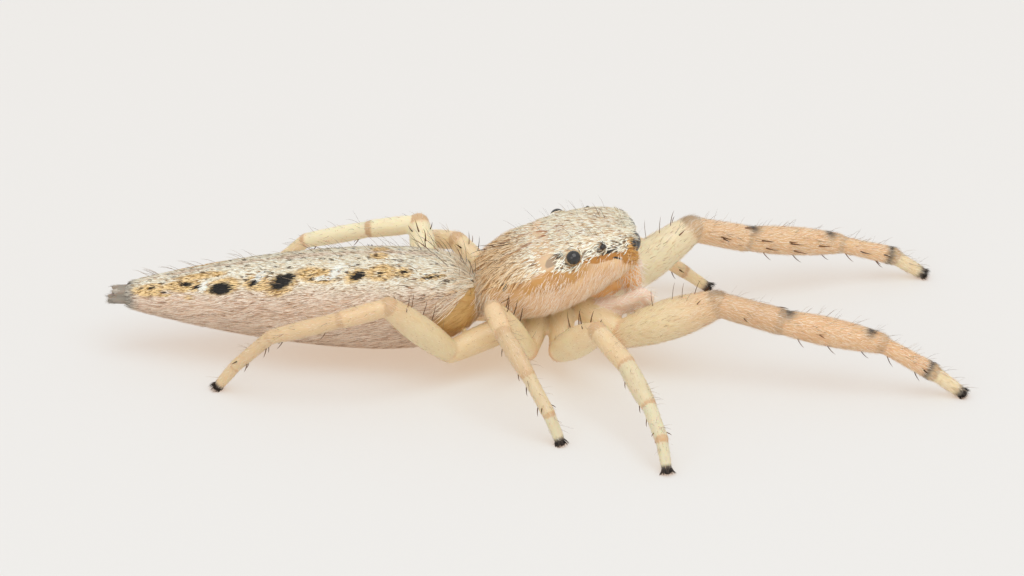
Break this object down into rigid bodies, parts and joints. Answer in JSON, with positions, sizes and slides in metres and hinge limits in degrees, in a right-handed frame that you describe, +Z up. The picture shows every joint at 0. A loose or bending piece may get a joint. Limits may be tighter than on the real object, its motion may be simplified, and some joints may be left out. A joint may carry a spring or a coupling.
{
  "type": "jumping spider",
  "caption": "Slender jumping spider model at life size, standing with its long banded abdomen low and its stout front legs stretched ahead.",
  "frame": {"origin": "centre of the bounding box, on the floor that the feet stand on", "axes": "+X forward along the stance, +Y to the spider's left, +Z up"},
  "size_m": [0.019, 0.0112, 0.0033],
  "materials": {
    "carapace": "amber skin under short cream scales",
    "chest": "smooth amber skin with fine pale hairs",
    "abdomen": "soft pinkish skin under short pale hairs, dark spots",
    "spinnerets": "satin grey",
    "eye": "wet gloss",
    "chelicera": "satin orange-brown",
    "palp": "translucent, with long white hairs",
    "front_leg": "translucent peach, with fine hairs and dark spines",
    "leg": "translucent pale yellow, with fine hairs and dark spines",
    "claws": "dense black hair tuft"
  },
  "bodies": {
    "root": {"carapace": "carapace", "eye_ame_l": "eye", "eye_ame_r": "eye", "eye_ale_l": "eye", "eye_ale_r": "eye", "eye_pme_l": "eye", "eye_pme_r": "eye", "eye_ple_l": "eye", "eye_ple_r": "eye", "sternum": "chest", "chelicera_l": "chelicera", "chelicera_r": "chelicera", "abdomen": "abdomen", "spinnerets": "spinnerets", "waist": "chest", "coxa_l1": "chest", "femur_l1": "front_leg", "tibia_l1": "front_leg", "tarsus_l1": "front_leg", "claws_l1": "claws", "coxa_l2": "chest", "femur_l2": "leg", "tibia_l2": "leg", "tarsus_l2": "leg", "claws_l2": "claws", "coxa_l3": "chest", "femur_l3": "leg", "tibia_l3": "leg", "tarsus_l3": "leg", "claws_l3": "claws", "coxa_l4": "chest", "femur_l4": "leg", "tibia_l4": "leg", "tarsus_l4": "leg", "claws_l4": "claws", "palp_femur_l": "palp", "palp_hand_l": "palp", "coxa_r1": "chest", "femur_r1": "front_leg", "tibia_r1": "front_leg", "tarsus_r1": "front_leg", "claws_r1": "claws", "coxa_r2": "chest", "femur_r2": "leg", "tibia_r2": "leg", "tarsus_r2": "leg", "claws_r2": "claws", "coxa_r3": "chest", "femur_r3": "leg", "tibia_r3": "leg", "tarsus_r3": "leg", "claws_r3": "claws", "coxa_r4": "chest", "femur_r4": "leg", "tibia_r4": "leg", "tarsus_r4": "leg", "claws_r4": "claws", "palp_femur_r": "palp", "palp_hand_r": "palp"}
  },
  "joints": []
}
